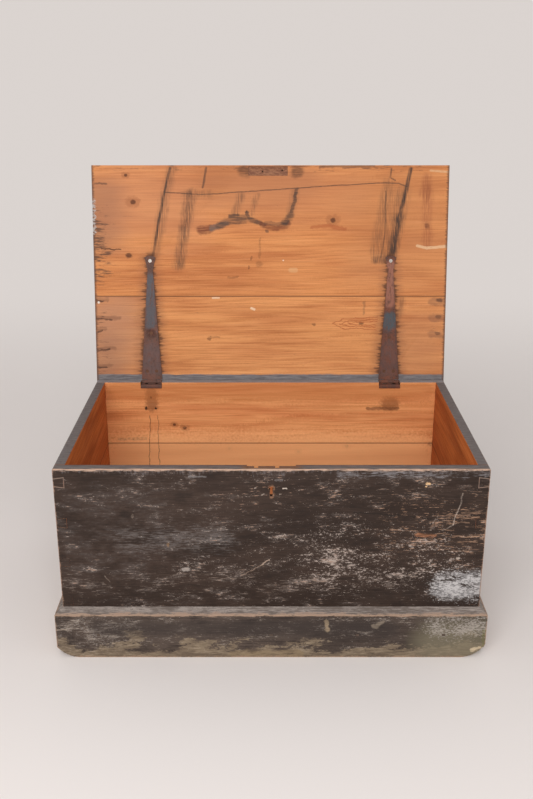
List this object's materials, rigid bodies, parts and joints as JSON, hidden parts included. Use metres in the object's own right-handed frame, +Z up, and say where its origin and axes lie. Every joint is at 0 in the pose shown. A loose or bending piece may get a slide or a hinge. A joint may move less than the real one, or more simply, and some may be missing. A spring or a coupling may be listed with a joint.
{
  "type": "wooden trunk",
  "caption": "Lidded pine storage trunk with dovetailed corners, a bevelled plinth and long tapered strap hinges, shown standing open.",
  "frame": {"origin": "middle of the underside of the bottom boards, on the floor", "axes": "+X to the right seen from the front, +Y to the back, +Z up; the front of the trunk faces -Y"},
  "size_m": [0.921, 0.6873, 0.9677],
  "materials": {
    "painted_pine": "old dark paint, worn",
    "bare_pine": "bare, aged",
    "wrought_iron": "rusted",
    "zinc_screw": "bright"
  },
  "bodies": {
    "carcase": {"front_board_upper": "painted_pine", "front_board_lower": "painted_pine", "back_board_upper": "painted_pine", "back_board_lower": "painted_pine", "left_end_upper": "painted_pine", "left_end_lower": "painted_pine", "right_end_upper": "painted_pine", "right_end_lower": "painted_pine", "bottom_board_front": "bare_pine", "bottom_board_middle": "bare_pine", "bottom_board_back": "bare_pine", "plinth_front": "painted_pine", "plinth_back": "painted_pine", "plinth_left": "painted_pine", "plinth_right": "painted_pine", "bottom_nails": "wrought_iron", "plinth_nails": "wrought_iron", "leaf_screws": "wrought_iron", "hinge_leaf_left": "wrought_iron", "hinge_leaf_right": "wrought_iron", "hinge_pin_left": "wrought_iron", "hinge_pin_right": "wrought_iron"},
    "lid": {"lid_board_front": "painted_pine", "lid_board_back": "painted_pine", "hinge_strap_left": "wrought_iron", "hinge_strap_right": "wrought_iron", "strap_screws": "wrought_iron", "tip_screws": "zinc_screw"}
  },
  "joints": [
    {"name": "lid_hinge", "type": "hinge", "parent": "carcase", "child": "lid", "pos_m": [0, 0.2715, 0.4333], "axis": [1, 0, 0], "range_deg": [0, 100.8]}
  ]
}
